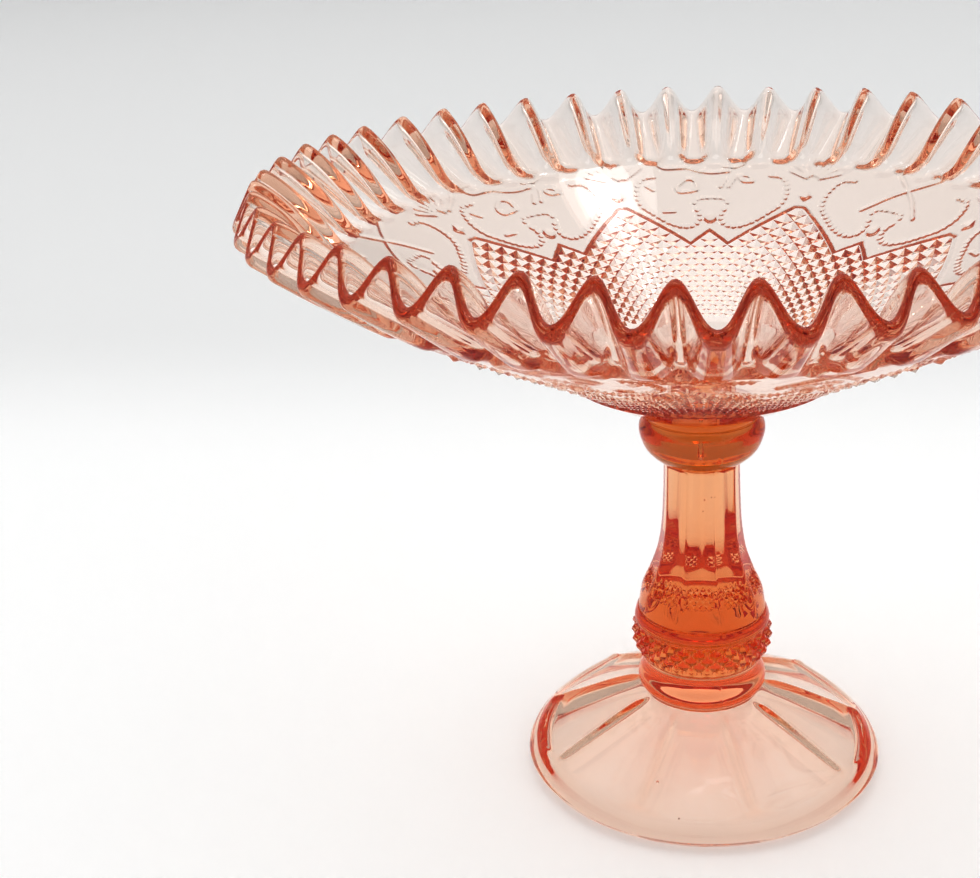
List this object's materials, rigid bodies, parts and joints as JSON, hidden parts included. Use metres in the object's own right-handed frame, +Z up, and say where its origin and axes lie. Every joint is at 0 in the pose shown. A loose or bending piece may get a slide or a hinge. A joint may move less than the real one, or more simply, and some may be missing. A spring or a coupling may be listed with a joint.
{
  "type": "footed glass candy dish",
  "caption": "Shallow pressed glass bowl with a crimped rim on a panelled pedestal with a knop and a domed hollow foot.",
  "frame": {"origin": "centre of the flat ring that the foot rests on", "axes": "+Z up along the pedestal, +X and +Y level, with a flat panel of the stem facing -Y"},
  "size_m": [0.2354, 0.236, 0.1754],
  "materials": {
    "pink_glass": "fire-polished transparent pink"
  },
  "bodies": {
    "root": {"crimped_rim": "pink_glass", "bowl": "pink_glass", "joining_wafer": "pink_glass", "collar_ring": "pink_glass", "panelled_stem": "pink_glass", "diamond_knop": "pink_glass", "domed_foot": "pink_glass"}
  },
  "joints": []
}
